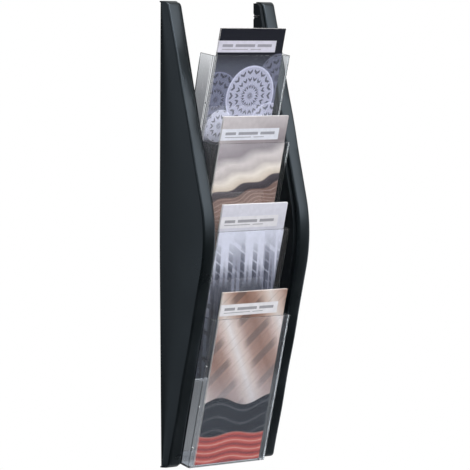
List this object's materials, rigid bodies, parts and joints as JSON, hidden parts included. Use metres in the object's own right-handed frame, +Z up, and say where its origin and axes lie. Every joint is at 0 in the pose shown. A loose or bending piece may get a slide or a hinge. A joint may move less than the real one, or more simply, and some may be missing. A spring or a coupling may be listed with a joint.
{
  "type": "wall leaflet rack",
  "caption": "Wall-hung leaflet rack: clear forward-leaning pockets stacked between two bowed black side columns, filled with slim leaflets that lift out.",
  "frame": {"origin": "on the wall plane, midway between the two columns, level with their bottom ends", "axes": "+X to the right seen from the front, +Y into the wall (the front faces -Y), +Z up"},
  "size_m": [0.1676, 0.0763, 0.5415],
  "materials": {
    "black_moulding": "black moulded plastic, satin, faint grain",
    "black_panel": "black moulded plastic, slightly duller",
    "clear_pocket": "clear moulded polystyrene, polished",
    "zinc_steel": "zinc-plated steel",
    "printed_paper_1": "coated leaflet, violet-grey print",
    "printed_paper_2": "coated leaflet, dusk-coloured print",
    "printed_paper_3": "coated leaflet, pale grey print",
    "printed_paper_4": "coated leaflet, warm brown print"
  },
  "bodies": {
    "rack": {"left_outer_cover": "black_moulding", "right_outer_cover": "black_moulding", "left_inner_panel": "black_panel", "right_inner_panel": "black_panel", "left_cover_screw_1": "zinc_steel", "left_cover_screw_2": "zinc_steel", "left_cover_screw_3": "zinc_steel", "right_cover_screw_1": "zinc_steel", "right_cover_screw_2": "zinc_steel", "right_cover_screw_3": "zinc_steel", "wall_bracket_upper_left": "zinc_steel", "wall_bracket_upper_right": "zinc_steel", "wall_bracket_lower_left": "zinc_steel", "wall_bracket_lower_right": "zinc_steel", "pocket_1": "clear_pocket", "pocket_2": "clear_pocket", "pocket_3": "clear_pocket", "pocket_4": "clear_pocket"},
    "pile_1": {"leaflets_1": "printed_paper_1"},
    "pile_2": {"leaflets_2": "printed_paper_2"},
    "pile_3": {"leaflets_3": "printed_paper_3"},
    "pile_4": {"leaflets_4": "printed_paper_4"}
  },
  "joints": [
    {"name": "pile_1_lift_out", "type": "slide", "parent": "rack", "child": "pile_1", "axis": [0, -0.2487, 0.9686], "range_m": [0, 0.2]},
    {"name": "pile_2_lift_out", "type": "slide", "parent": "rack", "child": "pile_2", "axis": [0, -0.2487, 0.9686], "range_m": [0, 0.2]},
    {"name": "pile_3_lift_out", "type": "slide", "parent": "rack", "child": "pile_3", "axis": [0, -0.2487, 0.9686], "range_m": [0, 0.2]},
    {"name": "pile_4_lift_out", "type": "slide", "parent": "rack", "child": "pile_4", "axis": [0, -0.2487, 0.9686], "range_m": [0, 0.2]}
  ]
}
